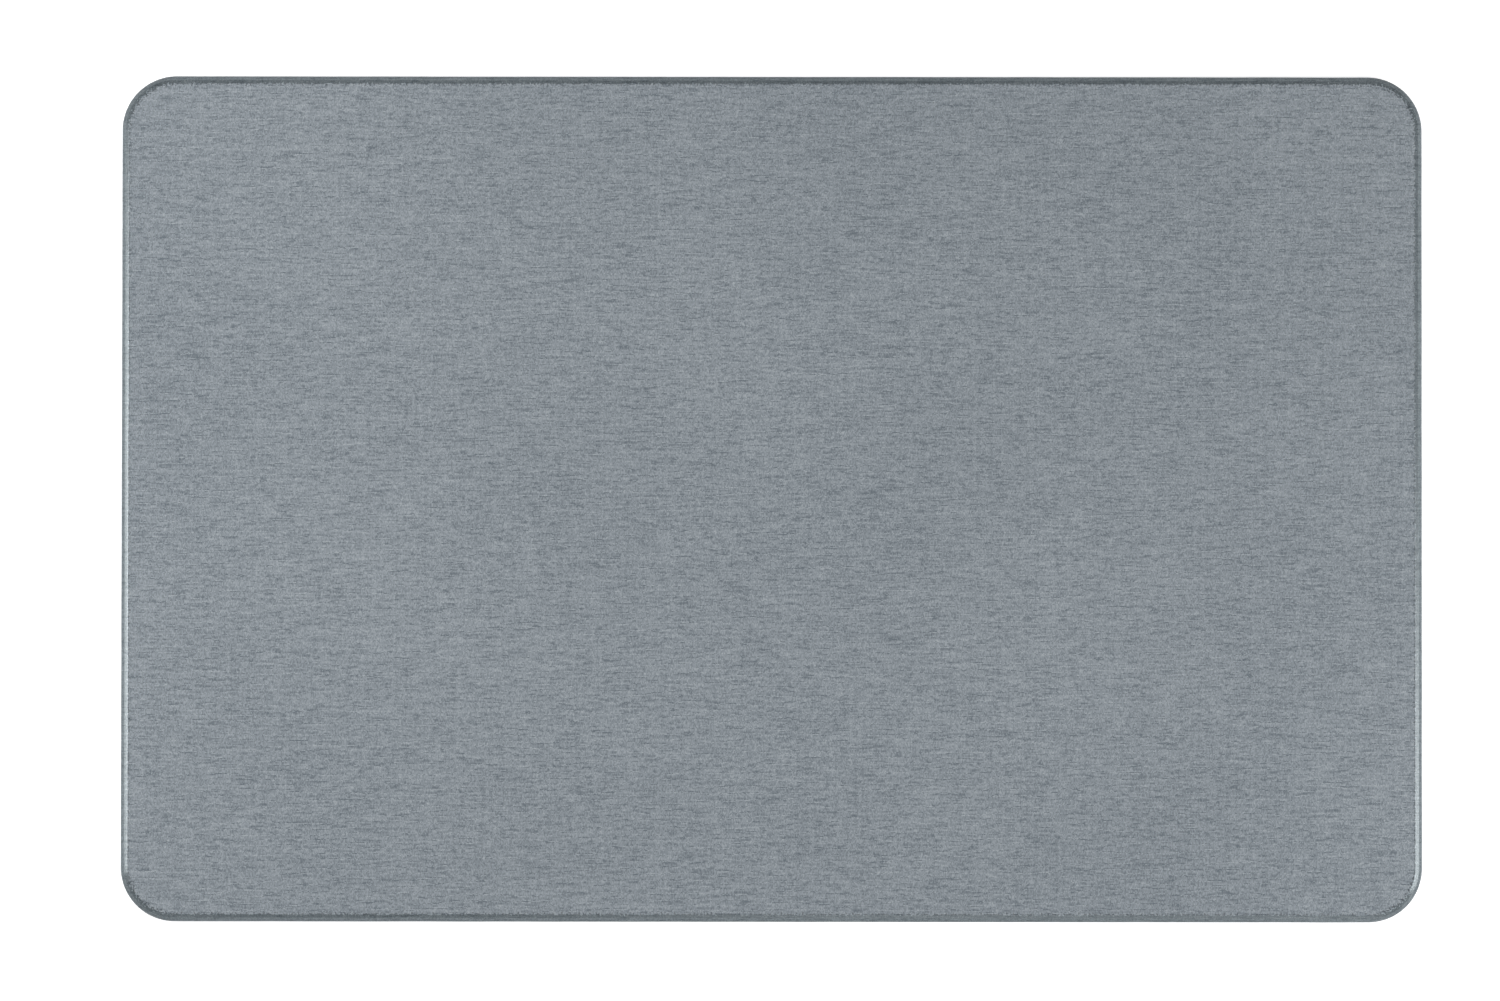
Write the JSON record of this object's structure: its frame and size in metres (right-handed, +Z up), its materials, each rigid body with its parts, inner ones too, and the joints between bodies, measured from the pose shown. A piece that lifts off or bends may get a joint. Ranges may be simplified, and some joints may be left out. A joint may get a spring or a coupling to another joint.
{
  "type": "desk mat",
  "caption": "Thin padded desk mat: a rounded rectangle with sloped edges, covered in heathered blue-grey woven fabric over a stiff core, on a non-slip rubber base.",
  "frame": {"origin": "middle of the flat underside, where the base sheet meets the desk", "axes": "+X along the mat's length towards its right-hand end, +Y across it towards the far edge, +Z up out of the working surface"},
  "size_m": [0.6, 0.39, 0.0058],
  "materials": {
    "woven_cover": "matte",
    "foam": "matte",
    "fibreboard": "matte",
    "card": "matte",
    "tape": "satin",
    "glue_film": "satin",
    "rubber_base": "matte"
  },
  "bodies": {
    "root": {"cover_fabric": "woven_cover", "cover_adhesive": "glue_film", "foam_pad": "foam", "foam_adhesive": "glue_film", "core_board": "fibreboard", "hem_tape_front": "tape", "hem_tape_back": "tape", "hem_tape_left": "tape", "hem_tape_right": "tape", "card_adhesive": "glue_film", "levelling_card": "card", "base_adhesive": "glue_film", "base_sheet": "rubber_base"}
  },
  "joints": []
}
